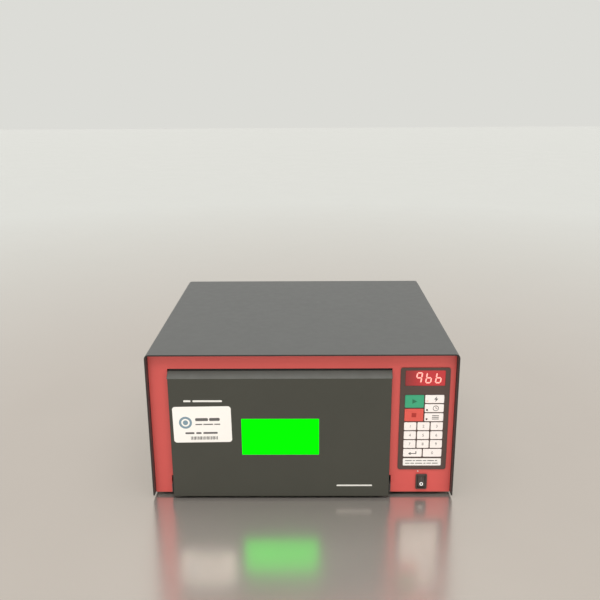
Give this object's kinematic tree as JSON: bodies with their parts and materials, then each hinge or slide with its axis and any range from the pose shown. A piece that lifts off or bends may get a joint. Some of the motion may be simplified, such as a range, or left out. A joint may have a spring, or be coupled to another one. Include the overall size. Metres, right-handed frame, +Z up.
{
  "type": "UV crosslinker",
  "caption": "Bench-top ultraviolet crosslinker: sheet-metal cabinet with a drop-down windowed door over a lamp chamber, and a keypad with a lit display.",
  "frame": {"origin": "on the bench, under the middle of the cabinet's box", "axes": "+Z up, +X to the operator's right, +Y to the rear, so the door faces -Y"},
  "size_m": [0.406, 0.371, 0.208],
  "materials": {
    "cover_paint": "fine textured charcoal powder coat",
    "bezel_paint": "satin salmon red enamel",
    "zinc_steel": "zinc plated sheet",
    "bright_aluminium": "bright anodised sheet",
    "lamp_glass": "clear quartz tube",
    "white_plastic": "matt white moulding",
    "window_acrylic": "bright green filter acrylic, lit from behind",
    "display_filter": "red filter, lit from behind",
    "overlay_film": "dark brown polyester overlay",
    "white_key": "off-white printed key",
    "green_key": "green printed key",
    "red_key": "red printed key",
    "black_plastic": "moulded black plastic",
    "circuit_board": "green circuit board with its parts",
    "iron_core": "lacquered iron core with its winding",
    "black_rubber": "black rubber"
  },
  "bodies": {
    "cabinet": {"outer_cover": "cover_paint", "rear_panel": "cover_paint", "hinge_bracket_left": "cover_paint", "hinge_bracket_right": "cover_paint", "front_bezel": "bezel_paint", "base_pan": "zinc_steel", "chamber_liner": "bright_aluminium", "lamp_reflector": "bright_aluminium", "uv_lamp_1": "lamp_glass", "uv_lamp_2": "lamp_glass", "uv_lamp_3": "lamp_glass", "uv_lamp_4": "lamp_glass", "uv_lamp_5": "lamp_glass", "lampholder_rail_front": "white_plastic", "lampholder_rail_rear": "white_plastic", "keypad_circuit": "white_plastic", "display_window": "display_filter", "keypad_overlay": "overlay_film", "uv_sensor": "black_plastic", "magnet_catch_left": "black_plastic", "magnet_catch_right": "black_plastic", "interlock_switch": "black_plastic", "display_module": "black_plastic", "power_switch_body": "black_plastic", "mains_inlet": "black_plastic", "control_board": "circuit_board", "ballast_1": "iron_core", "ballast_2": "iron_core", "ballast_3": "iron_core", "ballast_4": "iron_core", "ballast_5": "iron_core", "power_transformer": "iron_core", "door_seal": "black_rubber", "foot_front_left": "black_rubber", "foot_front_right": "black_rubber", "foot_rear_left": "black_rubber", "foot_rear_right": "black_rubber"},
    "door": {"door_shell": "cover_paint", "door_liner": "zinc_steel", "door_window": "window_acrylic", "window_frame": "black_plastic", "interlock_magnet": "iron_core"},
    "rocker": {"power_rocker": "black_plastic"},
    "fuse_drawer": {"fuse_drawer": "black_plastic"},
    "key_start": {"key_start": "green_key"},
    "key_stop": {"key_stop": "red_key"},
    "key_energy": {"key_energy": "white_key"},
    "key_time": {"key_time": "white_key"},
    "key_preset": {"key_preset": "white_key"},
    "key_enter": {"key_enter": "white_key"},
    "key_0": {"key_0": "white_key"},
    "key_1": {"key_1": "white_key"},
    "key_2": {"key_2": "white_key"},
    "key_3": {"key_3": "white_key"},
    "key_4": {"key_4": "white_key"},
    "key_5": {"key_5": "white_key"},
    "key_6": {"key_6": "white_key"},
    "key_7": {"key_7": "white_key"},
    "key_8": {"key_8": "white_key"},
    "key_9": {"key_9": "white_key"}
  },
  "joints": [
    {"name": "door_hinge", "type": "hinge", "parent": "cabinet", "child": "door", "pos_m": [-0.029, -0.1775, 0.0125], "axis": [1, 0, 0], "range_deg": [0, 90]},
    {"name": "power_rocker_tilt", "type": "hinge", "parent": "cabinet", "child": "rocker", "pos_m": [0.1614, -0.1735, 0.0209], "axis": [1, 0, 0], "range_deg": [0, 24]},
    {"name": "fuse_drawer_slide", "type": "slide", "parent": "cabinet", "child": "fuse_drawer", "axis": [0, 1, 0], "range_m": [0, 0.018]},
    {"name": "key_start_press", "type": "slide", "parent": "cabinet", "child": "key_start", "axis": [0, 1, 0], "range_m": [0, 0.0005], "stiffness_N_per_m": 1500},
    {"name": "key_stop_press", "type": "slide", "parent": "cabinet", "child": "key_stop", "axis": [0, 1, 0], "range_m": [0, 0.0005], "stiffness_N_per_m": 1500},
    {"name": "key_energy_press", "type": "slide", "parent": "cabinet", "child": "key_energy", "axis": [0, 1, 0], "range_m": [0, 0.0005], "stiffness_N_per_m": 1500},
    {"name": "key_time_press", "type": "slide", "parent": "cabinet", "child": "key_time", "axis": [0, 1, 0], "range_m": [0, 0.0005], "stiffness_N_per_m": 1500},
    {"name": "key_preset_press", "type": "slide", "parent": "cabinet", "child": "key_preset", "axis": [0, 1, 0], "range_m": [0, 0.0005], "stiffness_N_per_m": 1500},
    {"name": "key_enter_press", "type": "slide", "parent": "cabinet", "child": "key_enter", "axis": [0, 1, 0], "range_m": [0, 0.0005], "stiffness_N_per_m": 1500},
    {"name": "key_0_press", "type": "slide", "parent": "cabinet", "child": "key_0", "axis": [0, 1, 0], "range_m": [0, 0.0005], "stiffness_N_per_m": 1500},
    {"name": "key_1_press", "type": "slide", "parent": "cabinet", "child": "key_1", "axis": [0, 1, 0], "range_m": [0, 0.0005], "stiffness_N_per_m": 1500},
    {"name": "key_2_press", "type": "slide", "parent": "cabinet", "child": "key_2", "axis": [0, 1, 0], "range_m": [0, 0.0005], "stiffness_N_per_m": 1500},
    {"name": "key_3_press", "type": "slide", "parent": "cabinet", "child": "key_3", "axis": [0, 1, 0], "range_m": [0, 0.0005], "stiffness_N_per_m": 1500},
    {"name": "key_4_press", "type": "slide", "parent": "cabinet", "child": "key_4", "axis": [0, 1, 0], "range_m": [0, 0.0005], "stiffness_N_per_m": 1500},
    {"name": "key_5_press", "type": "slide", "parent": "cabinet", "child": "key_5", "axis": [0, 1, 0], "range_m": [0, 0.0005], "stiffness_N_per_m": 1500},
    {"name": "key_6_press", "type": "slide", "parent": "cabinet", "child": "key_6", "axis": [0, 1, 0], "range_m": [0, 0.0005], "stiffness_N_per_m": 1500},
    {"name": "key_7_press", "type": "slide", "parent": "cabinet", "child": "key_7", "axis": [0, 1, 0], "range_m": [0, 0.0005], "stiffness_N_per_m": 1500},
    {"name": "key_8_press", "type": "slide", "parent": "cabinet", "child": "key_8", "axis": [0, 1, 0], "range_m": [0, 0.0005], "stiffness_N_per_m": 1500},
    {"name": "key_9_press", "type": "slide", "parent": "cabinet", "child": "key_9", "axis": [0, 1, 0], "range_m": [0, 0.0005], "stiffness_N_per_m": 1500}
  ]
}
